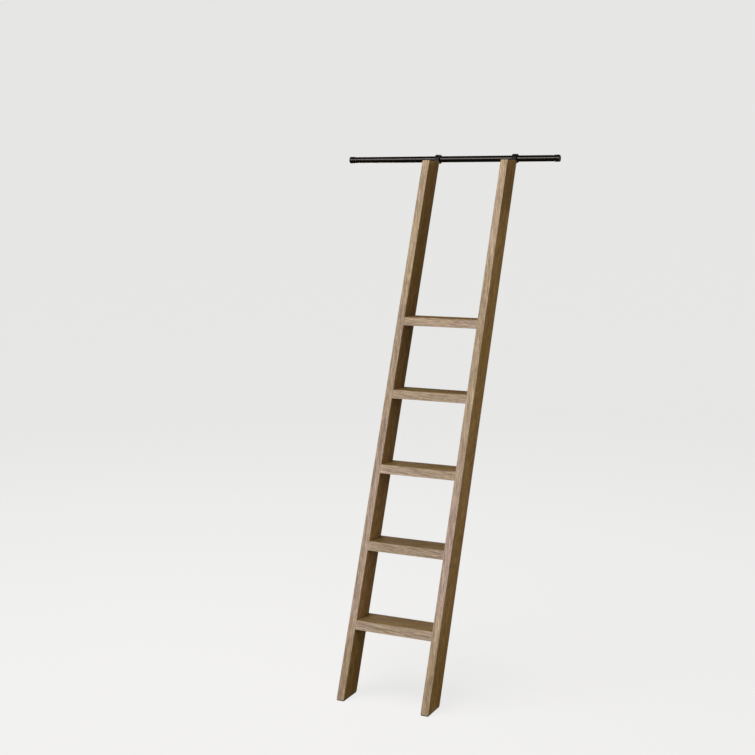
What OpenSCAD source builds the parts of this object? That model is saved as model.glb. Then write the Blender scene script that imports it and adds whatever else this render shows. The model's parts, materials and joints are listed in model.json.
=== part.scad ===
// Library ladder: two leaning stiles and five level treads, hung by a pair of steel
// hooks from a round rail, with its feet standing on the floor.
// X runs along the rail, +Y points to the bookcase behind the rail, +Z is up.
// The origin is on the floor, under the middle of the whole object's box.

/* [Ladder] */
// Overall width of the ladder
ladder_w = 361; // [320:1:420]
// Lean of the stiles from the vertical, in degrees
lean = 19.7; // [16:0.1:23]
// Height of the stile tops above the floor
top_z = 1957; // [1800:1:2050]
// Offset of the ladder's centre line from the middle of the rail
ladder_x = 108; // [-150:1:150]

/* [Stiles] */
// Thickness of a stile, measured across the ladder
stile_t = 30; // [28:1:40]
// Depth of a stile, square to its length
stile_d = 94.5; // [85:0.5:105]

/* [Treads] */
// Height from one tread's top to the next
tread_pitch = 270; // [250:1:280]
// Thickness of a tread
tread_t = 32; // [26:1:38]
// Setback of a tread's front and back faces from the stiles' faces
tread_setback = 1; // [0.5:0.5:4]

/* [Dowels] */
// Diameter of the glued dowels in a tread's ends
dowel_d = 10; // [8:1:12]
// Distance between the two dowels at one end
dowel_spread = 46; // [36:1:56]
// Depth of a dowel in the stile
dowel_in_stile = 18; // [12:1:22]
// Depth of a dowel in the tread
dowel_in_tread = 22; // [16:1:40]

/* [Rail] */
// Outside diameter of the rail tube
rail_d = 25; // [22:0.5:30]
// Wall thickness of the rail tube
rail_wall = 2; // [1.5:0.5:3]
// Length of rail between the faces of its two supports
rail_span = 876; // [820:1:1200]
// Outside diameter of the ferrule on each rail end
ferrule_d = 28; // [26:0.5:36]
// Length of a ferrule, which is how far it goes into its support
ferrule_l = 20; // [16:1:30]
// Thickness of a ferrule's closed end
ferrule_floor = 4; // [2:0.5:6]

/* [Hooks] */
// Width of the hook's steel strap
strap_w = 20; // [14:1:24]
// Thickness of the hook's steel strap
strap_t = 4; // [3:0.5:5]
// Length of strap screwed to the stile, below the stile's top
hook_leg = 150; // [120:1:180]
// Distance along the stile from its top to the level of the rail's axis
hook_rise = 17; // [14:1:26]
// Straight end of the hook behind the rail
hook_tip = 12; // [6:1:16]

/* [Liners] */
// Thickness of the nylon liner between hook and rail
liner_t = 1.9; // [1.5:0.1:2.5]
// Thickness of the liner's side lips
lip_t = 1.2; // [1:0.1:2]
// Height of the side lips beside the strap
lip_h = 1.6; // [1:0.1:3]

/* [Feet] */
// Thickness of the rubber pad under a foot
pad_t = 3; // [2:0.5:5]
// Inset of the pad from the edges of the stile's end
pad_inset = 1; // [0.5:0.5:3]

/* [Screws] */
// Shank diameter of a hook screw
hook_screw_d = 4.5; // [4:0.5:5]
// Length of a hook screw
hook_screw_l = 28; // [20:1:34]
// Shank diameter of a foot pad screw
pad_screw_d = 3.5; // [3:0.5:4]
// Length of a foot pad screw
pad_screw_l = 20; // [14:1:30]

/* [Hidden] */
$fn = 64;

LEFT = -1;
RIGHT = 1;
tread_count = 5;
running_gap = 0.05;
lip_gap = 0.3;

// Horizontal run of the stiles for each unit of height, and a stile's level depth
run = tan(lean);
stile_level_d = stile_d / cos(lean);

// Radii of the nested layers round the rail: liner, then hook
rail_r = rail_d / 2;
liner_in_r = rail_r + running_gap;
liner_out_r = liner_in_r + liner_t;
hook_in_r = liner_out_r + running_gap;
hook_out_r = hook_in_r + strap_t;

// The strap lies on the stile's back face, so the rail stands hook_out_r off that face
tangent_z = top_z + hook_rise * cos(lean);
rail_z = tangent_z - hook_out_r * sin(lean);
rail_reach = stile_level_d + tangent_z * run + hook_out_r * cos(lean);
foot_y = -(pad_t * run + rail_reach + hook_out_r) / 2;
rail_y = foot_y + rail_reach;

// Places across the ladder
clear_w = ladder_w - 2 * stile_t;
stile_offset = (ladder_w - stile_t) / 2;

// Screw heads and their places
head_ratio = 2;
head_slope = 0.55;
hook_screw_count = 3;
hook_screw_margin = 22;
hook_screw_step = (hook_leg - 2 * hook_screw_margin) / (hook_screw_count - 1);
pad_screw_spread = 56;
pad_screw_recess = 1;

// Cutting depth past a surface, so that no skin is left
over = 1;

function stile_x(side) = ladder_x + side * stile_offset;
function front_y(z) = foot_y + z * run;
function middle_y(z) = front_y(z) + stile_level_d / 2;
function tread_top(k) = k * tread_pitch;

// Outline, in the side view, of a bar that follows the lean between two heights
function leaning(z_low, z_high, inset) = [
    [front_y(z_low) + inset, z_low],
    [front_y(z_low) + stile_level_d - inset, z_low],
    [front_y(z_high) + stile_level_d - inset, z_high],
    [front_y(z_high) + inset, z_high]
];

// Extrudes a side-view outline by a width, centred on x
module across(x, width) {
    translate([x - width / 2, 0, 0])
        rotate([90, 0, 90])
            linear_extrude(width)
                children();
}

// A cylinder along X
module bar_x(x_from, x_to, d) {
    translate([min(x_from, x_to), 0, 0])
        rotate([0, 90, 0])
            cylinder(h = abs(x_to - x_from), d = d);
}

// Frame on the rail's axis, with its Z along the stiles and its Y square to them
module at_rail(x) {
    translate([x, rail_y, rail_z])
        rotate([-lean, 0, 0])
            children();
}

// A countersunk screw whose head is flush with the origin and whose shank goes to +Z
module countersunk(d, length) {
    head_r = d * head_ratio / 2;
    head_h = (head_r - d / 2) / head_slope;
    cylinder(h = head_h, r1 = head_r, r2 = d / 2);
    cylinder(h = length, d = d);
}

// ---- Wood ----

module tread_dowels(k) {
    z = tread_top(k) - tread_t / 2;
    for (side = [LEFT, RIGHT], end = [-1, 1]) {
        shoulder = clear_w / 2;
        translate([0, middle_y(z) + end * dowel_spread / 2, z])
            bar_x(
                ladder_x + side * (shoulder - dowel_in_tread),
                ladder_x + side * (shoulder + dowel_in_stile),
                dowel_d
            );
    }
}

module dowel_group(k) {
    color("burlywood") tread_dowels(k);
}

module stile(side) {
    color([0.60, 0.52, 0.42])
        difference() {
            across(stile_x(side), stile_t)
                polygon(leaning(pad_t, top_z, 0));
            for (k = [1:tread_count]) tread_dowels(k);
            hook_screw_set(side);
            foot_pad_screw_set(side);
        }
}

module tread(k) {
    color([0.64, 0.56, 0.45])
        difference() {
            across(ladder_x, clear_w)
                polygon(leaning(tread_top(k) - tread_t, tread_top(k), tread_setback));
            tread_dowels(k);
        }
}

// ---- Hooks ----

// Half ring over the rail, with its open side down the stiles
module half_ring(r_in, r_out, width) {
    difference() {
        rotate([0, 90, 0])
            cylinder(h = width, r = r_out, center = true);
        rotate([0, 90, 0])
            cylinder(h = width + 2 * over, r = r_in, center = true);
        translate([-width / 2 - over, -r_out - over, -r_out - over])
            cube([width + 2 * over, 2 * (r_out + over), r_out + over]);
    }
}

module hook_screw_set(side) {
    for (i = [0:hook_screw_count - 1]) {
        drop = hook_rise + hook_screw_margin + i * hook_screw_step;
        at_rail(stile_x(side))
            translate([0, -hook_in_r, -drop])
                rotate([90, 0, 0])
                    countersunk(hook_screw_d, hook_screw_l);
    }
}

module hook(side) {
    color([0.17, 0.16, 0.15])
        difference() {
            at_rail(stile_x(side)) {
                half_ring(hook_in_r, hook_out_r, strap_w);
                translate([-strap_w / 2, -hook_out_r, -hook_rise - hook_leg])
                    cube([strap_w, strap_t, hook_rise + hook_leg]);
                translate([-strap_w / 2, hook_in_r, -hook_tip])
                    cube([strap_w, strap_t, hook_tip]);
            }
            hook_screw_set(side);
        }
}

module hook_screws(side) {
    color([0.30, 0.29, 0.28]) hook_screw_set(side);
}

module hook_liner(side) {
    lip_x = strap_w / 2 + lip_gap + lip_t / 2;
    color([0.08, 0.08, 0.08])
        at_rail(stile_x(side)) {
            half_ring(liner_in_r, liner_out_r, strap_w + 2 * lip_gap);
            for (end = [-1, 1])
                translate([end * lip_x, 0, 0])
                    half_ring(liner_in_r, liner_out_r + lip_h, lip_t);
        }
}

// ---- Feet ----

module foot_pad_screw_set(side) {
    for (end = [-1, 1])
        translate([
            stile_x(side),
            middle_y(pad_t) + end * pad_screw_spread / 2,
            pad_screw_recess
        ])
            countersunk(pad_screw_d, pad_screw_l);
}

module foot_pad(side) {
    width = stile_t - 2 * pad_inset;
    depth = stile_level_d - 2 * pad_inset;
    color([0.10, 0.10, 0.10])
        difference() {
            translate([stile_x(side) - width / 2, middle_y(pad_t) - depth / 2, 0])
                cube([width, depth, pad_t]);
            foot_pad_screw_set(side);
            for (end = [-1, 1])
                translate([stile_x(side), middle_y(pad_t) + end * pad_screw_spread / 2, -over])
                    cylinder(h = pad_screw_recess + over, d = pad_screw_d * head_ratio);
        }
}

module foot_pad_screws(side) {
    color("silver") foot_pad_screw_set(side);
}

// ---- Rail ----

module rail_tube() {
    half_l = rail_span / 2 + ferrule_l - ferrule_floor;
    color([0.15, 0.14, 0.13])
        translate([0, rail_y, rail_z])
            difference() {
                bar_x(-half_l, half_l, rail_d);
                bar_x(-half_l - over, half_l + over, rail_d - 2 * rail_wall);
            }
}

module rail_ferrule(side) {
    x_open = side * rail_span / 2;
    x_end = x_open + side * ferrule_l;
    color([0.20, 0.19, 0.18])
        translate([0, rail_y, rail_z])
            difference() {
                bar_x(x_open, x_end, ferrule_d);
                bar_x(x_open - side * over, x_end - side * ferrule_floor, rail_d);
            }
}

stile(LEFT);  // stile_left
stile(RIGHT);  // stile_right
tread(1);  // tread_1
tread(2);  // tread_2
tread(3);  // tread_3
tread(4);  // tread_4
tread(5);  // tread_5
dowel_group(1);  // tread_dowels_1
dowel_group(2);  // tread_dowels_2
dowel_group(3);  // tread_dowels_3
dowel_group(4);  // tread_dowels_4
dowel_group(5);  // tread_dowels_5
hook(LEFT);  // hook_left
hook(RIGHT);  // hook_right
hook_screws(LEFT);  // hook_screws_left
hook_screws(RIGHT);  // hook_screws_right
hook_liner(LEFT);  // hook_liner_left
hook_liner(RIGHT);  // hook_liner_right
foot_pad(LEFT);  // foot_pad_left
foot_pad(RIGHT);  // foot_pad_right
foot_pad_screws(LEFT);  // foot_pad_screws_left
foot_pad_screws(RIGHT);  // foot_pad_screws_right
rail_tube();
rail_ferrule(LEFT);  // rail_ferrule_left
rail_ferrule(RIGHT);  // rail_ferrule_right
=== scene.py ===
"""Library ladder on its rail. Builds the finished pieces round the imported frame.

Everything is in metres in the frame's own axes: +X along the rail, +Y toward the
bookcase, +Z up. Sizes and places are taken from the frame's boxes.
"""

import json
import math

import bpy
from mathutils import Matrix, Vector, noise

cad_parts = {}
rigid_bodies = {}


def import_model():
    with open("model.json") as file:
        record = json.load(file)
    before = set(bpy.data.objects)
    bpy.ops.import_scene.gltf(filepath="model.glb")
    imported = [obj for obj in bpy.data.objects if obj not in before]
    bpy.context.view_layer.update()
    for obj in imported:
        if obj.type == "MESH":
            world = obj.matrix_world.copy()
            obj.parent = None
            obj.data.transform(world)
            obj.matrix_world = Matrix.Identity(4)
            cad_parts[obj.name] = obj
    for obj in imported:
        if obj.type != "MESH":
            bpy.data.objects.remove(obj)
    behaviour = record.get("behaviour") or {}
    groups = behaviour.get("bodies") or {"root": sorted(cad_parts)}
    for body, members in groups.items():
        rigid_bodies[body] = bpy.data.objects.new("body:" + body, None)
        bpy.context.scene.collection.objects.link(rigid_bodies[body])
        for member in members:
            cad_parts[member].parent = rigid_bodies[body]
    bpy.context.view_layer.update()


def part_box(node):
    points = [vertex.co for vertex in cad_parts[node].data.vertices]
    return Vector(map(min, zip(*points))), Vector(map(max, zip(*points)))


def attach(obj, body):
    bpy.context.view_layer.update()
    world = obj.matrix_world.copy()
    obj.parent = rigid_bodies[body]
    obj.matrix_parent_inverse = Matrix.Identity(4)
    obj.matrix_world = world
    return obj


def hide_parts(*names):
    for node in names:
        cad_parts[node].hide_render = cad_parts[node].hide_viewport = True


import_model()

# ---------------------------------------------------------------- sizes from the frame

MM = 0.001
SIDES = ("left", "right")
SIDE_SIGN = {"left": -1, "right": 1}
TREADS = range(1, 6)


def centre(node):
    """Middle of a node's box."""
    low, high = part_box(node)
    return (low + high) / 2


def extent(node):
    """Size of a node's box."""
    low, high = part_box(node)
    return high - low


# The stiles lean back by RUN for each unit of height. A stile's box and a tread's box
# give that and the stiles' level depth, since both follow the same two slanted faces.
TREAD_SETBACK = 1 * MM
stile_size = extent("stile_left")
tread_size = extent("tread_1")
RUN = (stile_size.y - tread_size.y - 2 * TREAD_SETBACK) / (stile_size.z - tread_size.z)
LEVEL_DEPTH = stile_size.y - stile_size.z * RUN
LEAN = math.atan(RUN)
STILE_DEPTH = LEVEL_DEPTH * math.cos(LEAN)
STILE_THICKNESS = stile_size.x
STILE_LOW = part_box("stile_left")[0].z
STILE_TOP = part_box("stile_left")[1].z
FRONT_AT_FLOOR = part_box("stile_left")[0].y - STILE_LOW * RUN
LADDER_X = centre("tread_1").x
CLEAR_HALF = tread_size.x / 2
STILE_X = {side: centre("stile_" + side).x for side in SIDES}

RAIL = centre("rail_tube")
RAIL_R = extent("rail_tube").z / 2
RAIL_WALL = 2 * MM
FERRULE_R = extent("rail_ferrule_left").z / 2

STRAP_W = extent("hook_left").x
STRAP_T = 4 * MM
HOOK_OUT_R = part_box("hook_left")[1].z - RAIL.z
HOOK_IN_R = HOOK_OUT_R - STRAP_T
RUNNING_GAP = 0.05 * MM
LINER_IN_R = RAIL_R + RUNNING_GAP
LINER_OUT_R = HOOK_IN_R - RUNNING_GAP
LIP_H = 1.6 * MM
LIP_R = LINER_OUT_R + LIP_H
LIP_T = 1.2 * MM
LINER_W = extent("hook_liner_left").x

# Unit vectors of the stiles: along their length, and square to it toward the back
ALONG = Vector((0, math.sin(LEAN), math.cos(LEAN)))
BACK = Vector((0, math.cos(LEAN), -math.sin(LEAN)))
ACROSS = Vector((1, 0, 0))


def middle_y(height):
    """The stiles' middle, front to back, at a height."""
    return FRONT_AT_FLOOR + height * RUN + LEVEL_DEPTH / 2


def hook_axis(side):
    """The middle of a hook's bend, on the rail's axis."""
    return Vector((STILE_X[side], RAIL.y, RAIL.z))


# ---------------------------------------------------------------- camera

CAMERA_AT = Vector((1.969, -4.193, 1.707))
CAMERA_YAW = math.radians(23.03)
CAMERA_PITCH = math.radians(-5.38)
CAMERA_ROLL = math.radians(0.69)
CAMERA_LENS = 58.6
CAMERA_SHIFT = (-0.10, -0.05)


def make_camera():
    """The camera, at about eye height and to the ladder's right."""
    data = bpy.data.cameras.new("camera")
    data.lens = CAMERA_LENS
    data.sensor_width = 36
    data.shift_x, data.shift_y = CAMERA_SHIFT
    camera = bpy.data.objects.new("camera", data)
    bpy.context.scene.collection.objects.link(camera)
    turn = Matrix.Rotation(CAMERA_YAW, 4, "Z")
    tilt = Matrix.Rotation(math.radians(90) + CAMERA_PITCH, 4, "X")
    roll = Matrix.Rotation(CAMERA_ROLL, 4, "Z")
    camera.matrix_world = Matrix.Translation(CAMERA_AT) @ turn @ tilt @ roll
    bpy.context.scene.camera = camera


make_camera()

# ---------------------------------------------------------------- mesh tools

ROUND_STEPS = 96
DOWEL_HOLE_STEPS = 40
SCREW_STEPS = 32


def mesh_object(name, points, faces):
    """A mesh object in the frame's own coordinates."""
    mesh = bpy.data.meshes.new(name)
    mesh.from_pydata([tuple(p) for p in points], [], faces)
    mesh.validate()
    mesh.update()
    piece = bpy.data.objects.new(name, mesh)
    bpy.context.scene.collection.objects.link(piece)
    return piece


def loft(rings, closed=False):
    """Points and faces of a skin over rings that have equal counts of points.

    The two ends are capped, unless closed, where the last ring joins the first.
    """
    count = len(rings[0])
    points = [p for ring in rings for p in ring]
    faces = []
    last = len(rings) if closed else len(rings) - 1
    for i in range(last):
        here = i * count
        there = ((i + 1) % len(rings)) * count
        for j in range(count):
            k = (j + 1) % count
            faces.append((here + j, here + k, there + k, there + j))
    if not closed:
        faces.append(tuple(range(count - 1, -1, -1)))
        faces.append(tuple(range(len(points) - count, len(points))))
    return points, faces


def join_parts(parts):
    """Points and faces of several (points, faces) parts together."""
    points, faces = [], []
    for part_points, part_faces in parts:
        start = len(points)
        points += part_points
        faces += [tuple(start + i for i in face) for face in part_faces]
    return points, faces


def rounded_outline(corners, radii, arc_steps=4, edge_steps=None):
    """A convex outline, listed counterclockwise, with arcs for corners.

    edge_steps holds, for the edge that leaves each corner, the shares of its length
    at which further points go.
    """
    count = len(corners)
    outline = []
    starts, ends = [], []
    for i, corner in enumerate(corners):
        here = Vector(corner)
        before = (Vector(corners[i - 1]) - here).normalized()
        after = (Vector(corners[(i + 1) % count]) - here).normalized()
        half = before.angle(after) / 2
        reach = radii[i] / math.tan(half)
        middle = here + (before + after).normalized() * (radii[i] / math.sin(half))
        first = here + before * reach
        last = here + after * reach
        sweep = math.pi - 2 * half
        arc = []
        for step in range(arc_steps + 1):
            turn = Matrix.Rotation(sweep * step / arc_steps, 2)
            arc.append(middle + turn @ (first - middle))
        starts.append(first)
        ends.append(last)
        outline.append(arc)
    points = []
    for i in range(count):
        points += outline[i]
        for share in (edge_steps[i] if edge_steps else ()):
            points.append(ends[i].lerp(starts[(i + 1) % count], share))
    return points


def lathe(profile, place, steps):
    """Revolves (distance along, radius) pairs; place maps (along, radius, angle)."""
    rings = []
    for along, radius in profile:
        ring = []
        for step in range(steps):
            ring.append(place(along, radius, 2 * math.pi * step / steps))
        rings.append(ring)
    return rings


def around_x(at, direction=1):
    """A lathe's place function for an axis along X through a point."""
    def place(along, radius, angle):
        return Vector((
            at.x + direction * along,
            at.y + direction * radius * math.cos(angle),
            at.z + radius * math.sin(angle),
        ))
    return place


def around(at, axis):
    """A lathe's place function for any axis through a point."""
    axis = axis.normalized()
    side = axis.orthogonal().normalized()
    other = axis.cross(side)

    def place(along, radius, angle):
        return at + axis * along + (side * math.cos(angle) + other * math.sin(angle)) * radius
    return place


def cut(piece, parts):
    """Takes closed solids, given as (points, faces), out of a piece's mesh."""
    cutter = mesh_object(piece.name + "_cutter", *join_parts(parts))
    boolean = piece.modifiers.new("cut", "BOOLEAN")
    boolean.operation = "DIFFERENCE"
    boolean.solver = "MANIFOLD"
    boolean.object = cutter
    bpy.context.view_layer.update()
    graph = bpy.context.evaluated_depsgraph_get()
    whole = piece.data
    piece.data = bpy.data.meshes.new_from_object(piece.evaluated_get(graph))
    piece.data.name = piece.name
    piece.modifiers.clear()
    bpy.data.meshes.remove(whole)
    used = cutter.data
    bpy.data.objects.remove(cutter)
    bpy.data.meshes.remove(used)


def smooth(piece, angle=35):
    """Smooth shading, with edges sharper than the angle kept sharp."""
    piece.data.shade_smooth()
    piece.data.set_sharp_from_angle(angle=math.radians(angle))


def finish_piece(piece, body, material, node):
    """Gives a piece its material and says what it rides on and stands for."""
    piece.data.materials.clear()
    piece.data.materials.append(material)
    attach(piece, body)
    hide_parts(node)


def paint(piece, name, kind, value_at):
    """Stores value_at(point) on each vertex, for a material to read."""
    mesh = piece.data
    attribute = mesh.attributes.new(name, kind, "POINT")
    values = [value_at(v.co) for v in mesh.vertices]
    if kind == "FLOAT_VECTOR":
        attribute.data.foreach_set("vector", [x for v in values for x in v])
    else:
        attribute.data.foreach_set("value", values)


# ---------------------------------------------------------------- shader tools


class Shader:
    """A material's node tree, with short calls for the nodes used here."""

    def __init__(self, name):
        self.material = bpy.data.materials.new(name)
        self.material.use_nodes = True
        self.tree = self.material.node_tree
        self.tree.nodes.clear()
        self.output = self.tree.nodes.new("ShaderNodeOutputMaterial")
        self.surface = self.tree.nodes.new("ShaderNodeBsdfPrincipled")
        self.link(self.surface.outputs["BSDF"], self.output.inputs["Surface"])

    def link(self, source, target):
        """Joins an output to an input."""
        self.tree.links.new(source, target)

    def feed(self, target, value):
        """Links an output to a socket, or sets a plain value on it."""
        if isinstance(value, bpy.types.NodeSocket):
            self.link(value, target)
        elif value is not None:
            target.default_value = value

    def attribute(self, name, output="Vector"):
        """What a piece's mesh stores under a name."""
        node = self.tree.nodes.new("ShaderNodeAttribute")
        node.attribute_name = name
        return node.outputs[output]

    def object_place(self):
        """The place on the piece, in metres."""
        return self.tree.nodes.new("ShaderNodeTexCoord").outputs["Object"]

    def stretch(self, vector, scale, offset=(0, 0, 0)):
        """A place scaled by axis, so that a pattern is finer along a larger number."""
        node = self.tree.nodes.new("ShaderNodeMapping")
        self.link(vector, node.inputs["Vector"])
        node.inputs["Scale"].default_value = scale
        node.inputs["Location"].default_value = offset
        return node.outputs["Vector"]

    def turned(self, vector, turn):
        """A place turned by three angles."""
        node = self.tree.nodes.new("ShaderNodeMapping")
        self.link(vector, node.inputs["Vector"])
        node.inputs["Rotation"].default_value = turn
        return node.outputs["Vector"]

    def noise(self, vector, scale=1.0, detail=3.0, roughness=0.5, output="Fac"):
        """A cloudy pattern from 0 to 1."""
        node = self.tree.nodes.new("ShaderNodeTexNoise")
        self.link(vector, node.inputs["Vector"])
        node.inputs["Scale"].default_value = scale
        node.inputs["Detail"].default_value = detail
        node.inputs["Roughness"].default_value = roughness
        return node.outputs[output]

    def centred_noise(self, vector, detail, size):
        """A noise vector about zero, for bending a pattern."""
        colour = self.noise(vector, detail=detail, output="Color")
        centred = self.vector_math("SUBTRACT", colour, (0.5, 0.5, 0.5))
        return self.vector_math("SCALE", centred, scale=size)

    def hash(self, value):
        """A random number from 0 to 1 for each whole number."""
        node = self.tree.nodes.new("ShaderNodeTexWhiteNoise")
        node.noise_dimensions = "1D"
        self.link(value, node.inputs["W"])
        return node.outputs["Value"]

    def math(self, operation, first, second=None, third=None, clamp=False):
        """One sum on numbers. MULTIPLY_ADD gives first * second + third."""
        node = self.tree.nodes.new("ShaderNodeMath")
        node.operation = operation
        node.use_clamp = clamp
        self.feed(node.inputs[0], first)
        self.feed(node.inputs[1], second)
        self.feed(node.inputs[2], third)
        return node.outputs[0]

    def vector_math(self, operation, first, second=None, scale=None):
        """One sum on places or colours."""
        node = self.tree.nodes.new("ShaderNodeVectorMath")
        node.operation = operation
        self.feed(node.inputs[0], first)
        self.feed(node.inputs[1], second)
        self.feed(node.inputs[3], scale)
        return node.outputs["Value" if operation == "LENGTH" else "Vector"]

    def product(self, *factors):
        """Several values multiplied together."""
        result = factors[0]
        for factor in factors[1:]:
            result = self.math("MULTIPLY", result, factor)
        return result

    def span(self, value, low, high, to_low=0.0, to_high=1.0):
        """Maps low..high to to_low..to_high, held at the ends."""
        node = self.tree.nodes.new("ShaderNodeMapRange")
        node.interpolation_type = "SMOOTHSTEP"
        self.feed(node.inputs["Value"], value)
        node.inputs["From Min"].default_value = low
        node.inputs["From Max"].default_value = high
        node.inputs["To Min"].default_value = to_low
        node.inputs["To Max"].default_value = to_high
        return node.outputs["Result"]

    def two_colours(self, value, *stops):
        """A colour between two (value, colour) stops."""
        node = self.tree.nodes.new("ShaderNodeValToRGB")
        self.link(value, node.inputs["Fac"])
        for element, (place, colour) in zip(node.color_ramp.elements, stops):
            element.position = place
            element.color = (*colour, 1)
        return node.outputs["Color"]

    def mix(self, share, first, second, blend="MIX"):
        """The first colour mixed with, or multiplied by, the second."""
        node = self.tree.nodes.new("ShaderNodeMix")
        node.data_type = "RGBA"
        node.blend_type = blend
        self.feed(node.inputs["Factor"], share)
        colours = [s for s in node.inputs if s.type == "RGBA"]
        for socket, value in zip(colours, (first, second)):
            self.feed(socket, (*value, 1) if isinstance(value, tuple) else value)
        return [s for s in node.outputs if s.type == "RGBA"][0]

    def bump(self, height, distance, strength):
        """A normal for fine relief that is distance deep."""
        node = self.tree.nodes.new("ShaderNodeBump")
        node.inputs["Strength"].default_value = strength
        node.inputs["Distance"].default_value = distance
        self.link(height, node.inputs["Height"])
        return node.outputs["Normal"]

    def set(self, **values):
        """Sets or links the principled shader's sockets; _ stands for a space."""
        for name, value in values.items():
            socket = self.surface.inputs[name.replace("_", " ")]
            self.feed(socket, value)


# ---------------------------------------------------------------- materials

RING_PITCH = 4.2 * MM
RUN_OUT = math.radians(6)
PALE_OAK = (0.470, 0.366, 0.252)
PINK_OAK = (0.462, 0.346, 0.292)
BROWN_OAK = (0.235, 0.158, 0.092)
# Lighter colour on the arrises: rubbed edges, and also a painted highlight along them
RUBBED_AND_HIGHLIT_OAK = (0.62, 0.51, 0.38)
PORE_BROWN = (0.120, 0.078, 0.046)
# Painted shade, darker and warmer, on broad faces: stiles' sides, treads' tops and undersides
BROAD_PAINTED_SHADE = (0.84, 0.72, 0.42)
# Darkens and yellows the wood where feet tread and towards the stiles' feet
DARKENING_TINT = (0.78, 0.74, 0.62)


def growth_rings(s, grain):
    """Each ring's own tone, and how far a place is in its early and its late wood.

    The rings go round a middle that wanders along the tree.
    """
    wander = s.centred_noise(s.stretch(grain, (4, 4, 1.7)), 1.0, 70 * MM)
    ripple = s.centred_noise(s.stretch(grain, (55, 55, 8)), 2.0, 7 * MM)
    bent = s.vector_math("ADD", s.vector_math("ADD", grain, wander), ripple)
    distance = s.vector_math("LENGTH", s.vector_math("MULTIPLY", bent, (1, 1, 0)))
    count = s.math("DIVIDE", distance, RING_PITCH)
    ring = s.math("FRACT", count)
    ring_tone = s.hash(s.math("FLOOR", count))
    early = s.math("SUBTRACT", 1.0, s.span(ring, 0.02, 0.45))
    late = s.span(ring, 0.50, 0.96)
    return ring_tone, early, late


def oak_pores(s, run_out, early):
    """1 in a pore. Pores are closest together in the early wood."""
    pore = s.noise(s.stretch(run_out, (1250, 1250, 38)), detail=1.0)
    return s.product(s.span(pore, 0.54, 0.64), s.math("MULTIPLY_ADD", early, 0.8, 0.2))


def oak_light(s, grain, run_out, fibre, ring_tone, late):
    """How light the wood is, from its streaks, bands, rings, fibres, flecks and veins."""
    streak = s.noise(s.stretch(run_out, (210, 210, 10)), detail=4.0, roughness=0.68)
    vein = s.noise(s.stretch(run_out, (400, 400, 17), (4.4, 2.5, 6.1)), detail=2.0)
    band = s.noise(s.stretch(grain, (62, 62, 1.6), (5.2, 1.1, 0.3)), detail=3.0)
    fleck = s.noise(s.stretch(grain, (190, 190, 38), (1.7, 8.1, 2.2)), detail=2.0)
    return s.product(
        s.span(streak, 0.28, 0.72, 0.70, 1.24),
        s.span(band, 0.3, 0.7, 0.91, 1.06),
        s.math("MULTIPLY_ADD", ring_tone, 0.12, 0.94),
        s.math("MULTIPLY_ADD", late, -0.20, 1.04),
        s.span(fibre, 0.34, 0.62, 0.83, 1.09),
        s.span(fleck, 0.50, 0.66, 1.0, 1.15),
        s.span(vein, 0.55, 0.67, 1.03, 0.76),
        # Each board's own tone and, on the stiles, painted light and shade along the height
        s.math("MULTIPLY_ADD", s.attribute("tone", "Fac"), 0.12, 1.0),
        s.math("MULTIPLY_ADD", s.attribute("end_grain", "Fac"), -0.35, 1.0),
    )


def oak_colour(s, grain, light, pores):
    """The washed wood's colour, then painted shade on its broad faces, its pores, its darkening,
    and arrises lightened both as rubbed edges and as a painted highlight.
    """
    hue = s.noise(s.stretch(grain, (18, 18, 4.5), (3.1, 0.4, 7.7)), detail=3.0)
    pink = s.math("MULTIPLY", s.span(hue, 0.38, 0.62), 0.55)
    pink = s.math("MULTIPLY_ADD", s.attribute("blush", "Fac"), 0.6, pink, clamp=True)
    body = s.mix(pink, PALE_OAK, PINK_OAK)
    body = s.vector_math("SCALE", body, scale=light)
    dark = s.math("SUBTRACT", 1.0, s.span(light, 0.58, 0.94))
    body = s.mix(s.math("MULTIPLY", dark, 0.50), body, BROWN_OAK)
    # Painted shade on the broad faces
    body = s.mix(s.attribute("broad", "Fac"), body, BROAD_PAINTED_SHADE, "MULTIPLY")
    body = s.mix(s.math("MULTIPLY", pores, 0.75), body, PORE_BROWN)
    # Darker and yellower where feet tread on the treads and towards the stiles' feet
    body = s.mix(s.attribute("soil", "Fac"), body, DARKENING_TINT, "MULTIPLY")
    # Arrises lightened, partly as rubbed edges and partly as a painted highlight along them
    return s.mix(s.math("MULTIPLY", s.attribute("wear", "Fac"), 0.46), body, RUBBED_AND_HIGHLIT_OAK)


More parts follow.
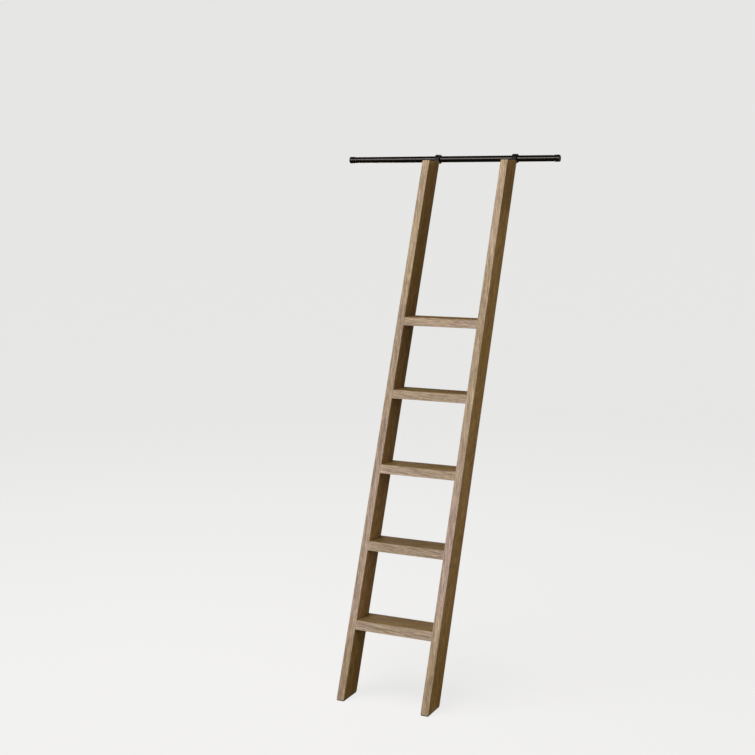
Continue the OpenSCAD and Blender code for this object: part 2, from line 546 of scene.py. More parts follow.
def oak():
    """Brushed oak with a greige wash, as a solid texture in each board's own axes.

    The vertex attribute "grain" is the place from the tree's middle in metres, Z along
    the grain. "broad" is 1 on the broad faces and 0 on the narrow ones, and the broad
    faces get painted shade, darker and warmer. "wear" is 1 on an arris,
    which is lightened both as a rubbed edge and as a painted highlight. "end_grain" is 1
    on a sawn end, "darkening" makes the wood darker and yellower on the treads where feet
    go and towards the stiles' feet, "tone" makes the wood darker below 0 and lighter above
    it, and on the stiles also holds painted light and shade that change with height, and
    "blush" is 1 where the wash has taken a pink cast. The fibres run out of the narrow
    faces at a small angle.
    """
    s = Shader("oak")
    grain = s.attribute("grain")
    run_out = s.turned(grain, (0, RUN_OUT, 0))
    fibre = s.noise(s.stretch(run_out, (900, 900, 18)), detail=3.0, roughness=0.6)
    ring_tone, early, late = growth_rings(s, grain)
    pores = oak_pores(s, run_out, early)
    light = oak_light(s, grain, run_out, fibre, ring_tone, late)

    relief = s.math("MULTIPLY_ADD", pores, -0.9, s.math("MULTIPLY", fibre, 0.5))
    relief = s.math("MULTIPLY_ADD", early, -0.35, relief)
    s.set(
        Base_Color=oak_colour(s, grain, light, pores),
        Roughness=s.span(fibre, 0.2, 0.8, 0.80, 0.62),
        Normal=s.bump(relief, 0.45 * MM, 0.55),
        Specular_IOR_Level=0.30,
    )
    return s.material


def beech():
    """Plain pale dowel stock."""
    s = Shader("beech")
    place = s.object_place()
    fibre = s.noise(s.stretch(place, (30, 900, 900)), detail=3.0)
    colour = s.two_colours(fibre, (0.3, (0.50, 0.36, 0.23)), (0.7, (0.68, 0.53, 0.37)))
    s.set(Base_Color=colour, Roughness=0.62, Normal=s.bump(fibre, 0.1 * MM, 0.4))
    return s.material


def dark_steel(name, base, worn, roughness, brushed):
    """Blackened steel: a thin dark coat with cloudy tone, fine scratches and rubbed spots.

    brushed is how fine the scratches are along each axis.
    """
    s = Shader(name)
    place = s.object_place()
    cloud = s.noise(s.stretch(place, (14, 40, 40)), detail=4.0, roughness=0.6)
    peel = s.noise(place, scale=420, detail=2.0)
    lines = s.noise(s.stretch(place, brushed), detail=3.0, roughness=0.6)
    rubbed = s.math("MULTIPLY", s.span(cloud, 0.52, 0.74), s.span(lines, 0.48, 0.70))
    s.set(
        Base_Color=s.mix(rubbed, base, worn),
        Metallic=0.6,
        Roughness=s.span(cloud, 0.3, 0.7, roughness - 0.04, roughness + 0.06),
        Normal=s.bump(peel, 0.03 * MM, 0.12),
        Specular_IOR_Level=0.5,
    )
    return s.material


def moulded(name, base, light, roughness, scale):
    """Moulded plastic or rubber: near black with a fine matt grain."""
    s = Shader(name)
    place = s.object_place()
    grain = s.noise(place, scale=scale, detail=3.0, roughness=0.6)
    dust = s.noise(place, scale=60, detail=3.0)
    colour = s.mix(s.span(dust, 0.45, 0.75), base, light)
    s.set(
        Base_Color=colour,
        Roughness=s.span(grain, 0.3, 0.7, roughness - 0.08, roughness + 0.08),
        Normal=s.bump(grain, 0.12 * MM, 0.5),
    )
    return s.material


OAK = oak()
BEECH = beech()
RAIL_STEEL = dark_steel(
    "rail_steel", base=(0.020, 0.017, 0.015), worn=(0.032, 0.028, 0.025),
    roughness=0.29, brushed=(8, 500, 500),
)
HOOK_STEEL = dark_steel(
    "hook_steel", base=(0.036, 0.033, 0.031), worn=(0.075, 0.070, 0.065),
    roughness=0.31, brushed=(260, 30, 30),
)
SCREW_STEEL = dark_steel(
    "screw_steel", base=(0.11, 0.105, 0.10), worn=(0.34, 0.33, 0.31),
    roughness=0.36, brushed=(600, 600, 600),
)
NYLON = moulded(
    "nylon", base=(0.016, 0.016, 0.017), light=(0.030, 0.029, 0.029),
    roughness=0.50, scale=1400,
)
RUBBER = moulded(
    "pad_rubber", base=(0.022, 0.021, 0.020), light=(0.060, 0.056, 0.050),
    roughness=0.82, scale=900,
)

# ---------------------------------------------------------------- wood

ARRIS_R = 1.8 * MM
ARRIS_CHANGE = 0.9 * MM
END_R = 1.2 * MM
NEAR_EDGE = 0.045
# How wide the lightened band along each arris is: rubbed edges and a painted highlight
WEAR_AND_HIGHLIGHT_WIDTH = 5 * MM
END_PAINT = 0.05 * MM
STILE_MIDDLE = (STILE_LOW + STILE_TOP) / 2
STILE_TONES = {"left": -0.45, "right": 0.05}
TREAD_TONES = {1: -1.15, 2: -1.75, 3: -0.45, 4: -0.65, 5: -0.35}
STILE_RING_STEP = 18 * MM
TREAD_RING_STEP = 10 * MM
TREAD_JOINT_GAP = 0.8 * MM
TREAD_NOSE_WEAR = 1.6 * MM
TREAD_SOIL = 0.45
TREAD_BLUSH = 0.35


def arris_radius(seed, along):
    """The radius of a hand-eased arris, which changes slowly along a board."""
    wave = noise.noise(Vector((seed * 7.3, along * 5.0, 0.0)))
    fine = noise.noise(Vector((seed * 3.1, along * 22.0, 4.0)))
    return ARRIS_R + ARRIS_CHANGE * (0.7 * wave + 0.3 * fine)


def end_inset(distance, radius):
    """How far an eased end has pulled in, at a distance from the end plane."""
    if distance >= radius:
        return 0.0
    return radius - math.sqrt(radius ** 2 - (radius - distance) ** 2)


def end_places(low, high, radius, step):
    """Places for rings between two end planes, closer together on the eased ends."""
    shares = (0.0, 0.08, 0.3, 0.62, 1.0)
    inner_low, inner_high = low + radius, high - radius
    count = max(2, round((inner_high - inner_low) / step))
    places = [low + radius * s for s in shares[:-1]]
    places += [inner_low + (inner_high - inner_low) * i / count for i in range(count + 1)]
    places += [high - radius * s for s in reversed(shares[:-1])]
    return places


def stile_rings(side):
    """Level sections of a stile from its foot to its top."""
    seed = 1 + SIDES.index(side)
    x = STILE_X[side]
    long_steps = (NEAR_EDGE, 0.12, 0.3, 0.5, 0.7, 0.88, 1 - NEAR_EDGE)
    short_steps = (0.14, 0.5, 0.86)
    rings = []
    for height in end_places(STILE_LOW, STILE_TOP, END_R, STILE_RING_STEP):
        inset = end_inset(min(height - STILE_LOW, STILE_TOP - height), END_R)
        half_t = STILE_THICKNESS / 2 - inset
        half_d = STILE_DEPTH / 2 - inset
        corners = ((-half_t, -half_d), (half_t, -half_d), (half_t, half_d), (-half_t, half_d))
        radii = [arris_radius(seed * 10 + i, height) for i in range(4)]
        outline = rounded_outline(
            corners, radii, edge_steps=(short_steps, long_steps, short_steps, long_steps)
        )
        rings.append([
            Vector((x + p.x, middle_y(height) + p.y / math.cos(LEAN), height))
            for p in outline
        ])
    return rings


def tread_rings(k):
    """Sections of a tread across the ladder, from the left stile to the right one.

    Its top front edge is worn rounder toward the middle.
    """
    low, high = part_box(f"tread_{k}")
    half_depth = LEVEL_DEPTH / 2 - TREAD_SETBACK
    top_steps = (NEAR_EDGE, 0.15, 0.3, 0.5, 0.7, 0.85, 1 - NEAR_EDGE)
    face_steps = (0.12, 0.5, 0.88)
    rings = []
    for x in end_places(low.x, high.x, TREAD_JOINT_GAP, TREAD_RING_STEP):
        inset = end_inset(min(x - low.x, high.x - x), TREAD_JOINT_GAP)
        middle = 1 - (abs(x - LADDER_X) / CLEAR_HALF) ** 2
        bottom, top = low.z + inset, high.z - inset
        y_bottom, y_top = middle_y(low.z), middle_y(high.z)
        reach = half_depth - inset
        corners = (
            (y_bottom - reach, bottom),
            (y_bottom + reach, bottom),
            (y_top + reach, top),
            (y_top - reach, top),
        )
        radii = [arris_radius(100 + k * 10 + i, x) for i in range(4)]
        radii[3] += TREAD_NOSE_WEAR * middle
        outline = rounded_outline(
            corners, radii, edge_steps=(top_steps, face_steps, top_steps, face_steps)
        )
        rings.append([Vector((x, p.x, p.y)) for p in outline])
    return rings


def rise(value, low, high):
    """0 below low, 1 above high, and smooth between."""
    share = max(0.0, min(1.0, (value - low) / (high - low)))
    return share * share * (3 - 2 * share)


def place_in_tree(seed):
    """How a board lies in its tree: its turn about the grain, and its middle's place."""
    turn = Matrix.Rotation(0.30 * math.sin(seed * 2.1), 3, "Z")
    from_pith = (52 + 14 * math.sin(seed * 1.7)) * MM
    aside = 20 * MM * math.sin(seed * 2.9)
    return turn, Vector((from_pith, aside, seed * 3.7))


def paint_board(piece, local, size, seed, tone_at, darkening_at, blush_at):
    """Stores what the oak reads on a board.

    size is the board's thickness, depth and length, and local turns a point into its
    place along those, from the board's middle. tone_at takes a point and how far it is
    on a broad face.
    """
    half = Vector(size) / 2
    turn, tree_place = place_in_tree(seed)

    # 1 along each arris, lightened there as a rubbed edge and as a painted highlight
    def wear_and_highlight_at(point):
        p = local(point)
        gaps = sorted(max(half[i] - abs(p[i]), 0.0) for i in range(3))
        from_arris = math.hypot(gaps[0], gaps[1])
        patchy = 0.55 + 0.9 * noise.noise(Vector((p.x * 30, p.y * 30, p.z * 7 + seed)))
        return max(0.0, min(1.0, (1 - from_arris / WEAR_AND_HIGHLIGHT_WIDTH) * patchy))

    def broad_at(point):
        p = local(point)
        off_broad, off_narrow = half.x - abs(p.x), half.y - abs(p.y)
        return max(0.0, min(1.0, off_narrow / max(off_broad + off_narrow, 1e-6)))

    def end_at(point):
        return 1.0 if half.z - abs(local(point).z) < END_PAINT else 0.0

    paint(piece, "grain", "FLOAT_VECTOR", lambda p: turn @ local(p) + tree_place)
    paint(piece, "broad", "FLOAT", broad_at)
    paint(piece, "wear", "FLOAT", wear_and_highlight_at)
    paint(piece, "end_grain", "FLOAT", end_at)
    paint(piece, "tone", "FLOAT", lambda p: tone_at(p, broad_at(p)))
    paint(piece, "soil", "FLOAT", darkening_at)
    paint(piece, "blush", "FLOAT", blush_at)


def hole(start, axis, length, radius, steps):
    """A closed round cutter."""
    return loft(lathe(((0, radius), (length, radius)), around(start, axis), steps))


DOWEL_D = extent("tread_dowels_1").z
DOWEL_REACH = extent("tread_dowels_1").x / 2
DOWEL_SPREAD = extent("tread_dowels_1").y - DOWEL_D
DOWEL_IN_STILE = DOWEL_REACH - CLEAR_HALF
DOWEL_IN_TREAD = 22 * MM
DOWEL_CHAMFER = 1 * MM
DOWEL_END_GAP = 0.3 * MM
FLUTES = 18
FLUTE_DEPTH = 0.28 * MM


def dowel_places(k, sides=SIDES):
    """(inner end, direction to the stile) of each dowel in a tread, at the sides given."""
    middle = centre(f"tread_dowels_{k}")
    for side in sides:
        sign = SIDE_SIGN[side]
        for end in (-1, 1):
            x = LADDER_X + sign * (CLEAR_HALF - DOWEL_IN_TREAD)
            yield Vector((x, middle.y + end * DOWEL_SPREAD / 2, middle.z)), sign * ACROSS


def dowel_holes(k):
    """Cutters for the dowels in a tread's ends."""
    return [
        hole(place, direction, DOWEL_IN_TREAD + DOWEL_IN_STILE, DOWEL_D / 2, DOWEL_HOLE_STEPS)
        for place, direction in dowel_places(k)
    ]


# ---------------------------------------------------------------- screws

HOOK_SCREW_D = 4.5 * MM
HOOK_SCREW_L = 28 * MM
HOOK_SCREWS = 3
PAD_SCREW_D = 3.5 * MM
PAD_SCREW_L = extent("foot_pad_screws_left").z
PAD_SCREW_SPREAD = extent("foot_pad_screws_left").y - 2 * PAD_SCREW_D
# A head's rim is as far from the middle as the shank is wide, and HEAD_SLOPE is how much
# the head narrows for each unit of depth
HEAD_SLOPE = 0.55
# (reach, width) of one arm of a cross recess, at its root and at the two corners of its
# tip, for a shank 1 wide
RECESS_ARM = ((0.16, -0.16), (0.62, -0.13), (0.62, 0.13))


def screw_profile(d, length):
    """(depth, radius) of a countersunk wood screw, from its head to its point."""
    head_h = d / 2 / HEAD_SLOPE
    core = 0.36 * d
    pitch = 0.42 * d
    thread_from = length * 0.38
    tip_from = length - 1.6 * d
    profile = [
        (0, d * 0.2), (0, d - 0.35 * MM), (0.12 * MM, d - 0.08 * MM), (0.3 * MM, d - 0.12 * MM),
        (head_h, d / 2), (thread_from, d / 2),
    ]
    place = thread_from
    while place < length - pitch:
        fade = 1.0 if place < tip_from else max(0.12, (length - place) / (length - tip_from))
        profile.append((place + 0.15 * pitch, core * fade))
        profile.append((place + 0.62 * pitch, core * fade))
        profile.append((place + 0.82 * pitch, d / 2 * fade))
        profile.append((place + 0.94 * pitch, d / 2 * fade))
        place += pitch
    profile.append((length, 0.04 * d))
    return profile


def recess(at, axis, d, turn):
    """A cross-shaped cutter that narrows into a screw's head."""
    place = around(at, axis)
    rings = []
    for depth, root_scale, tip_scale in ((-0.2 * MM, 1.0, 1.0), (0.55 * d, 0.6, 0.35)):
        ring = []
        for arm in range(4):
            for i, (reach, width) in enumerate(RECESS_ARM):
                scale = root_scale if i == 0 else tip_scale
                radius = math.hypot(reach, width) * d * scale
                angle = turn + arm * math.pi / 2 + math.atan2(width, reach)
                ring.append(place(depth, radius, angle))
        rings.append(ring)
    return loft(rings)


def screw(at, axis, d, length):
    """A screw with its head's centre at a point."""
    return loft(lathe(screw_profile(d, length), around(at, axis), SCREW_STEPS))


def countersink(at, axis, d, outside, through, room=0.0, sink=0.0):
    """A cutter for a countersunk hole, from outside a face to through the piece.

    room is the gap round the head, and sink is how deep the head's rim lies.
    """
    rim = d + room
    profile = ((-outside, rim), (sink, rim), (d / 2 / HEAD_SLOPE, d / 2), (through, d / 2))
    return loft(lathe(profile, around(at, axis), SCREW_STEPS))


def hook_screw_places(side):
    """(head centre, direction) of each screw in a hook's leg."""
    low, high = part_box("hook_screws_" + side)
    head_r = HOOK_SCREW_D
    reach_low = low.z + head_r * math.cos(LEAN)
    reach_high = high.z - HOOK_SCREW_L * math.sin(LEAN) - 0.5 * HOOK_SCREW_D * math.cos(LEAN)
    face = hook_axis(side) - BACK * HOOK_IN_R
    for i in range(HOOK_SCREWS):
        height = reach_low + (reach_high - reach_low) * i / (HOOK_SCREWS - 1)
        yield face + ALONG * ((height - face.z) / ALONG.z), -BACK


def pad_screw_places(side):
    """(head centre, direction) of each screw under a foot."""
    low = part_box("foot_pad_screws_" + side)[0]
    for end in (-1, 1):
        y = centre("foot_pad_screws_" + side).y + end * PAD_SCREW_SPREAD / 2
        yield Vector((STILE_X[side], y, low.z)), Vector((0, 0, 1))


def make_screws(name, places, d, length, node):
    """One piece that holds a set of screws, each turned a little further than the last."""
    places = list(places)
    piece = mesh_object(name, *join_parts([screw(at, axis, d, length) for at, axis in places]))
    cut(piece, [recess(at, axis, d, 0.4 + 1.1 * i) for i, (at, axis) in enumerate(places)])
    smooth(piece, 40)
    finish_piece(piece, "ladder", SCREW_STEEL, node)


# ---------------------------------------------------------------- the ladder's pieces


def stile_holes(side):
    """Cutters for the dowels and screws in a stile."""
    into_tread = 2 * MM
    depth = DOWEL_IN_STILE + into_tread
    holes = []
    for k in TREADS:
        for place, direction in dowel_places(k, [side]):
            start = place + direction * (DOWEL_IN_TREAD - into_tread)
            holes.append(hole(start, direction, depth, DOWEL_D / 2, DOWEL_HOLE_STEPS))
    for at, axis in hook_screw_places(side):
        holes.append(hole(at, axis, HOOK_SCREW_L, HOOK_SCREW_D / 2, SCREW_STEPS))
    for at, axis in pad_screw_places(side):
        holes.append(hole(at, axis, PAD_SCREW_L, PAD_SCREW_D / 2, SCREW_STEPS))
    return holes


def make_stile(side):
    """A stile, with painted light and shade that change slowly with height. It is darker and
    yellower towards its foot.
    """
    piece = mesh_object(f"stile_{side}_board", *loft(stile_rings(side)))
    cut(piece, stile_holes(side))
    smooth(piece)

    def local(point):
        depth = (point.y - middle_y(point.z)) * BACK.y
        return Vector((point.x - STILE_X[side], depth, (point.z - STILE_MIDDLE) / ALONG.z))

    def tone_at(point, broad):
        # Painted light: narrow faces a little darker from 0.9 to 1.3 m and lighter near the top
        narrow_painted_light = 1.5 * rise(point.z, 1.3, 1.65) - 0.5 * rise(point.z, 0.9, 1.2)
        if side == "left":
            # Painted light low down and painted shade higher up
            broad_painted_light = 3.2 - 5.0 * rise(point.z, 0.2, 1.4)
        else:
            # Painted shade from 1 m up, deepest near the top as a painted shadow
            broad_painted_light = 0.5 - 0.7 * rise(point.z, 0.95, 1.25) - 2.4 * rise(point.z, 1.62, 1.86)
        return STILE_TONES[side] + narrow_painted_light * (1 - broad) + broad_painted_light * broad

    def blush_at(point):
        return rise(point.z, 0.18, 0.42) * (1 - rise(point.z, 0.80, 1.15))

    # Darker and yellower towards the foot
    def darkening_at(point):
        patchy = 0.25 * noise.noise(Vector((point.x * 20, point.y * 20, point.z * 9)))
        return max(0.0, min(1.0, 1 - rise(point.z, 0.02, 0.42) + patchy * (point.z < 0.5)))

    size = (STILE_THICKNESS, STILE_DEPTH, stile_size.z / ALONG.z)
    paint_board(piece, local, size, 1 + SIDES.index(side), tone_at, darkening_at, blush_at)
    finish_piece(piece, "ladder", OAK, f"stile_{side}")


def make_tread(k):
    """A tread, with its top soiled where feet go."""
    piece = mesh_object(f"tread_{k}_board", *loft(tread_rings(k)))
    cut(piece, dowel_holes(k))
    smooth(piece)
    middle = centre(f"tread_{k}")

    def local(point):
        return Vector((point.z - middle.z, point.y - middle_y(point.z), point.x - middle.x))

    def trodden_at(point):
        on_top = rise(point.z, middle.z + 0.3 * tread_size.z, middle.z + 0.5 * tread_size.z)
        along = 1 - rise(abs(point.x - LADDER_X), 0.02, CLEAR_HALF)
        return TREAD_SOIL * on_top * along

    size = (tread_size.z, LEVEL_DEPTH - 2 * TREAD_SETBACK, tread_size.x)
    paint_board(
        piece, local, size, 5 + k, lambda p, broad: TREAD_TONES[k], trodden_at,
        lambda p: TREAD_BLUSH,
    )
    finish_piece(piece, "ladder", OAK, f"tread_{k}")


def dowel(at, axis):
    """A fluted dowel with chamfered ends."""
    length = DOWEL_IN_TREAD + DOWEL_IN_STILE
    place = around(at, axis)
    steps = 4 * FLUTES
    rings = []
    for along, pull in (
        (DOWEL_END_GAP, DOWEL_CHAMFER),
        (DOWEL_CHAMFER + DOWEL_END_GAP, 0),
        (length - DOWEL_CHAMFER - DOWEL_END_GAP, 0),
        (length - DOWEL_END_GAP, DOWEL_CHAMFER),
    ):
        ring = []
        for step in range(steps):
            angle = 2 * math.pi * step / steps
            flute = FLUTE_DEPTH * max(0.0, math.cos(FLUTES * angle)) ** 2
            ring.append(place(along, DOWEL_D / 2 - pull - flute, angle))
        rings.append(ring)
    return loft(rings)


def make_dowels(k):
    """One piece that holds a tread's dowels."""
    parts = [dowel(at, axis) for at, axis in dowel_places(k)]
    piece = mesh_object(f"tread_{k}_dowels", *join_parts(parts))
    smooth(piece, 50)
    finish_piece(piece, "ladder", BEECH, f"tread_dowels_{k}")


PAD_EDGE_R = 0.6 * MM
PAD_CORNER_R = 2.5 * MM


def make_pad(side):
    """Rubber pad with eased edges, over the stile's end."""
    low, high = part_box("foot_pad_" + side)
    middle = (low + high) / 2
    half = (high - low) / 2
    rings = []
    for height in end_places(low.z, high.z, PAD_EDGE_R, 1 * MM):
        inset = end_inset(min(height - low.z, high.z - height), PAD_EDGE_R)
        x, y = half.x - inset, half.y - inset
        corners = ((-x, -y), (x, -y), (x, y), (-x, y))
        outline = rounded_outline(corners, [PAD_CORNER_R] * 4, arc_steps=6)
        rings.append([Vector((middle.x + p.x, middle.y + p.y, height)) for p in outline])
    piece = mesh_object(f"foot_{side}_pad", *loft(rings))
    cut(piece, [
        countersink(at, axis, PAD_SCREW_D, outside=2 * MM, through=4 * MM)
        for at, axis in pad_screw_places(side)
    ])
    smooth(piece)
    finish_piece(piece, "ladder", RUBBER, f"foot_pad_{side}")


# ---------------------------------------------------------------- hooks and liners

# A strap runs up its leg, over its bend and down to its tip
HOOK_LEG = 167 * MM
HOOK_TIP = 12 * MM
HOOK_ARC = math.pi * (HOOK_IN_R + STRAP_T / 2)
STRAP_L = HOOK_LEG + HOOK_ARC + HOOK_TIP
STRAP_EDGE_R = 0.8 * MM
STRAP_TIP_R = min(STRAP_W / 2, HOOK_TIP - 1 * MM)
STRAP_END_W = 2.4 * MM
HEAD_ROOM = 0.12 * MM
HEAD_SINK = 0.05 * MM
LIP_EDGE = 0.3 * MM
LINER_STEPS = 48


def strap_place(side, s, height):
    """The point s metres along a strap from its leg's end, at a height over its inner face."""
    reach = HOOK_IN_R + height
    if s <= HOOK_LEG:
        return hook_axis(side) - BACK * reach + ALONG * (s - HOOK_LEG)
    if s <= HOOK_LEG + HOOK_ARC:
        angle = math.pi * (s - HOOK_LEG) / HOOK_ARC
        return hook_axis(side) - BACK * (reach * math.cos(angle)) + ALONG * (reach * math.sin(angle))
    return hook_axis(side) + BACK * reach - ALONG * (s - HOOK_LEG - HOOK_ARC)


def strap_stations():
    """Distances along the strap, closer together round its ends and its bend."""
    half_w = STRAP_W / 2
    end = [half_w * (1 - math.cos(math.pi / 2 * i / 10)) for i in range(11)]
    leg = [half_w + (HOOK_LEG - half_w) * i / 12 for i in range(1, 13)]
    arc = [HOOK_LEG + HOOK_ARC * i / 40 for i in range(1, 41)]
    tip = [HOOK_LEG + HOOK_ARC + (HOOK_TIP - STRAP_TIP_R) * i / 2 for i in range(1, 3)]
    tip += [STRAP_L - STRAP_TIP_R * math.cos(math.pi / 2 * i / 10) for i in range(1, 10)]
    return end + leg + arc + tip + [STRAP_L]


def strap_half_width(s):
    """Half of the strap's width at a distance along it. Both its ends are rounded."""
    half_w = STRAP_W / 2
    wide = half_w
    if s < half_w:
        wide = math.sqrt(max(0.0, half_w ** 2 - (half_w - s) ** 2))
    from_tip = STRAP_L - s
    if from_tip < STRAP_TIP_R:
        wide = half_w * math.sqrt(max(0.0, 1 - (1 - from_tip / STRAP_TIP_R) ** 2))
    return max(wide, STRAP_END_W / 2)


def make_hook(side):
    """A bent strap with eased edges, rounded ends and countersunk screw holes."""
    rings = []
    for s in strap_stations():
        wide = strap_half_width(s)
        corners = ((-wide, 0), (wide, 0), (wide, STRAP_T), (-wide, STRAP_T))
        outline = rounded_outline(corners, [STRAP_EDGE_R] * 4, arc_steps=3)
        rings.append([strap_place(side, s, p.y) - ACROSS * p.x for p in outline])
    piece = mesh_object(f"hook_{side}_strap", *loft(rings))
    cut(piece, [
        countersink(
            at, axis, HOOK_SCREW_D, outside=1 * MM, through=6 * MM, room=HEAD_ROOM, sink=HEAD_SINK
        )
        for at, axis in hook_screw_places(side)
    ])
    smooth(piece, 30)
    finish_piece(piece, "ladder", HOOK_STEEL, f"hook_{side}")


def make_liner(side):
    """Half-round nylon channel between hook and rail, with a lip each side of the strap."""
    outer = LINER_W / 2
    inner = outer - LIP_T
    profile = (
        (-outer, LINER_IN_R), (outer, LINER_IN_R),
        (outer, LIP_R - LIP_EDGE), (outer - LIP_EDGE, LIP_R),
        (inner + LIP_EDGE, LIP_R), (inner, LIP_R - LIP_EDGE),
        (inner, LINER_OUT_R), (-inner, LINER_OUT_R),
        (-inner, LIP_R - LIP_EDGE), (-inner - LIP_EDGE, LIP_R),
        (-outer + LIP_EDGE, LIP_R), (-outer, LIP_R - LIP_EDGE),
    )
    rings = []
    for step in range(LINER_STEPS + 1):
        angle = math.pi * step / LINER_STEPS
        outward = -BACK * math.cos(angle) + ALONG * math.sin(angle)
        rings.append([hook_axis(side) - ACROSS * x + outward * r for x, r in profile])
    piece = mesh_object(f"hook_{side}_liner", *loft(rings))
    smooth(piece, 30)
    finish_piece(piece, "liners", NYLON, f"hook_liner_{side}")


# ---------------------------------------------------------------- rail

RAIL_CHAMFER = 0.3 * MM
RAIL_STEPS = 60
FERRULE_FLOOR = 4 * MM
FERRULE_EASE = 0.5 * MM
GROOVE = 0.35 * MM
CAP_R = 1 * MM

def make_rail():
    """A round tube with chamfered ends."""
    half = extent("rail_tube").x / 2
    profile = [(-half, RAIL_R - RAIL_CHAMFER), (-half + RAIL_CHAMFER, RAIL_R)]
    profile += [(-half + 2 * half * i / RAIL_STEPS, RAIL_R) for i in range(1, RAIL_STEPS)]
    profile += [(half - RAIL_CHAMFER, RAIL_R), (half, RAIL_R - RAIL_CHAMFER)]
    profile += [(half, RAIL_R - RAIL_WALL), (-half, RAIL_R - RAIL_WALL)]
    rings = lathe(profile, around_x(RAIL), ROUND_STEPS)
    piece = mesh_object("rail_bar", *loft(rings, closed=True))
    smooth(piece)
    finish_piece(piece, "rail", RAIL_STEEL, "rail_tube")


def ferrule_profile(length):
    """(distance from the mouth, radius) from the cup's floor, round its rim, to its end."""
    floor_at = length - FERRULE_FLOOR
    profile = [(floor_at, CAP_R), (floor_at, RAIL_R), (0, RAIL_R)]
    profile += [(0, FERRULE_R - FERRULE_EASE), (FERRULE_EASE, FERRULE_R)]
    for middle in (length * 0.4, length * 0.6):
        profile += [
            (middle - 2 * GROOVE, FERRULE_R), (middle - GROOVE, FERRULE_R - GROOVE),
            (middle + GROOVE, FERRULE_R - GROOVE), (middle + 2 * GROOVE, FERRULE_R),
        ]
    profile += [(length - 2 * FERRULE_EASE, FERRULE_R), (length, FERRULE_R - 2 * FERRULE_EASE)]
    return profile + [(length, CAP_R)]


def make_ferrule(side):
    """Turned cup on a rail end, with eased rims and two shallow grip grooves."""
    low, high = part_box("rail_ferrule_" + side)
    mouth = Vector((low.x if side == "right" else high.x, RAIL.y, RAIL.z))
    place = around_x(mouth, SIDE_SIGN[side])
    rings = lathe(ferrule_profile(high.x - low.x), place, ROUND_STEPS)
    piece = mesh_object(f"rail_{side}_ferrule", *loft(rings))
    smooth(piece)
    finish_piece(piece, "rail", RAIL_STEEL, f"rail_ferrule_{side}")


# ---------------------------------------------------------------- build

for side_name in SIDES:
    make_stile(side_name)
    make_pad(side_name)
    make_hook(side_name)
    make_liner(side_name)
    make_screws(
        f"hook_{side_name}_screws", hook_screw_places(side_name),
        HOOK_SCREW_D, HOOK_SCREW_L, f"hook_screws_{side_name}",
    )
    make_screws(
        f"foot_{side_name}_pad_screws", pad_screw_places(side_name),
        PAD_SCREW_D, PAD_SCREW_L, f"foot_pad_screws_{side_name}",
    )
    make_ferrule(side_name)
for number in TREADS:
    make_tread(number)
    make_dowels(number)
make_rail()

# ---------------------------------------------------------------- floor, backdrop and light

STAGE_R = 9.0
STAGE_TOP = 9.0
STAGE_MIDDLE_R = 0.02
COVE_R = 2.5
COVE_STEPS = 16
WARM = (1.0, 0.88, 0.66)
AMBER = (1.0, 0.84, 0.54)
NEUTRAL = (1.0, 0.985, 0.97)
LADDER_AIM = (0.1, 0.0, 1.20)
RAIL_AIM = (0, 0.4, 1.97)
STEEL_PIECES = (
    "rail_bar", "rail_left_ferrule", "rail_right_ferrule", "hook_left_strap", "hook_right_strap",
)


def floor_material():
    """A matt pale floor with a glow of its own, so that it is evenly bright."""
    s = Shader("pale_floor")
    s.set(
        Base_Color=(0.25, 0.25, 0.25, 1),
        Roughness=0.9,
        Specular_IOR_Level=0.1,
        Emission_Color=(1, 1, 1, 1),
        Emission_Strength=0.76,
    )
    return s.material


def make_stage():
    """A pale round floor that curves up into a backdrop all round.

    It sheds no light on the ladder. The face that would close its top is left out.
    """
    profile = [(0.0, STAGE_MIDDLE_R), (0.0, 2.0), (0.0, STAGE_R - COVE_R)]
    for step in range(1, COVE_STEPS + 1):
        angle = math.pi / 2 * step / COVE_STEPS
        profile.append((
            COVE_R * (1 - math.cos(angle)), STAGE_R - COVE_R + COVE_R * math.sin(angle)
        ))
    profile.append((STAGE_TOP, STAGE_R))
    place = around(Vector((0, 0, 0)), Vector((0, 0, 1)))
    points, faces = loft(lathe(profile, place, ROUND_STEPS))
    floor = mesh_object("floor", points, faces[:-1])
    floor.data.shade_smooth()
    floor.data.materials.append(floor_material())
    floor.visible_diffuse = False
    floor.visible_glossy = False
    return floor


def area_light(name, at, aim, size, power, colour):
    """A rectangular light that the camera doesn't see."""
    data = bpy.data.lights.new(name, "AREA")
    data.shape = "RECTANGLE"
    data.size, data.size_y = size
    data.energy = power
    data.color = colour
    light = bpy.data.objects.new(name, data)
    bpy.context.scene.collection.objects.link(light)
    turn = (Vector(aim) - Vector(at)).to_track_quat("-Z", "Y")
    light.matrix_world = Matrix.Translation(at) @ turn.to_matrix().to_4x4()
    light.visible_camera = False
    return light


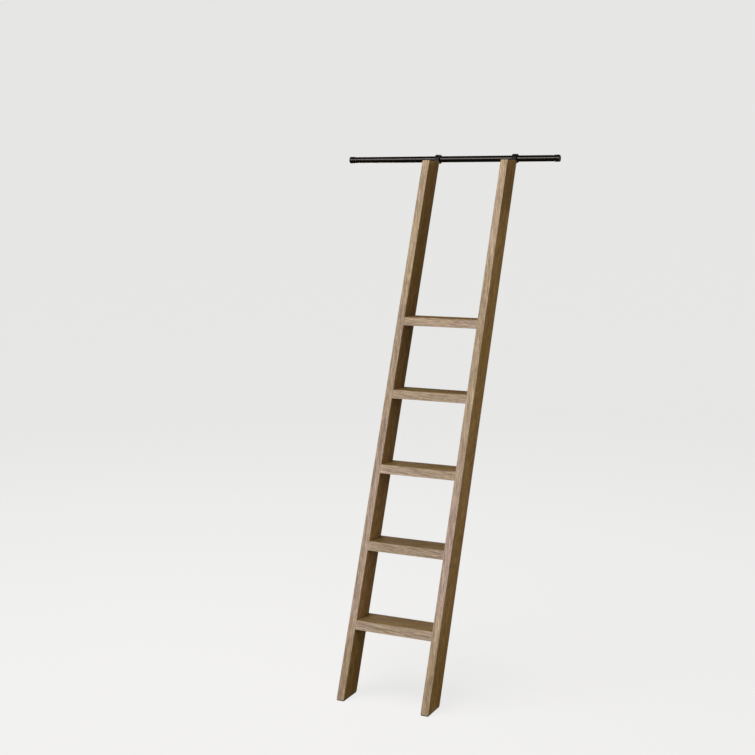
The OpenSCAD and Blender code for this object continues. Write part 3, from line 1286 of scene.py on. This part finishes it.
def link_lights(name, lights, receiver_list, state):
    """Makes lights reach these objects alone (INCLUDE) or all but them (EXCLUDE)."""
    receivers = bpy.data.collections.new(name)
    for receiver in receiver_list:
        receivers.objects.link(receiver)
    for held in receivers.collection_objects:
        held.light_linking.link_state = state
    for light in lights:
        light.light_linking.receiver_collection = receivers


def make_lights(floor):
    """The lights on the ladder, on its steel and on the floor.

    A soft key shines from the camera's left, with dimmer warm light from behind, from the
    right and from above. Two long strips show only as gleams on the steel.
    """
    key = area_light(
        "key", at=(-1.7, -4.3, 1.75), aim=LADDER_AIM, size=(1.8, 1.8), power=192, colour=NEUTRAL
    )
    back = area_light(
        "back", at=(-2.8, 3.4, 0.9), aim=LADDER_AIM, size=(1.8, 2.0), power=80, colour=WARM
    )
    fill = area_light(
        "fill", at=(4.2, -0.6, 1.2), aim=LADDER_AIM, size=(2.5, 2.4), power=46, colour=WARM
    )
    strip = area_light(
        "strip", at=(-1.4, -3.3, 3.3), aim=RAIL_AIM, size=(3.6, 1.6), power=170, colour=NEUTRAL
    )
    strip_back = area_light(
        "strip_back", at=(0.9, 3.4, 3.1), aim=RAIL_AIM, size=(3.2, 1.2), power=70, colour=WARM
    )
    above = area_light(
        "above", at=(0.3, 0.1, 3.3), aim=(0.1, 0, 0.8), size=(2.0, 1.6), power=14, colour=AMBER
    )
    overhead = area_light(
        "overhead", at=(-0.8, -1.2, 5), aim=(0, 0, 0), size=(4, 4), power=130, colour=NEUTRAL
    )
    strip.visible_diffuse = False
    strip_back.visible_diffuse = False
    steel = [piece for piece in bpy.data.objects if piece.name in STEEL_PIECES]
    link_lights("all_but_floor_and_steel", (key, above), [floor, *steel], "EXCLUDE")
    link_lights("all_but_floor", (back, fill), [floor], "EXCLUDE")
    link_lights("steel_alone", (strip, strip_back), steel, "INCLUDE")
    link_lights("floor_alone", (overhead,), [floor], "INCLUDE")


def make_world():
    """Faint warm light from all round."""
    world = bpy.data.worlds.new("world")
    world.use_nodes = True
    background = world.node_tree.nodes["Background"]
    background.inputs["Color"].default_value = (*WARM, 1)
    background.inputs["Strength"].default_value = 0.09
    bpy.context.scene.world = world


make_lights(make_stage())
make_world()
bpy.context.scene.view_settings.view_transform = "Standard"
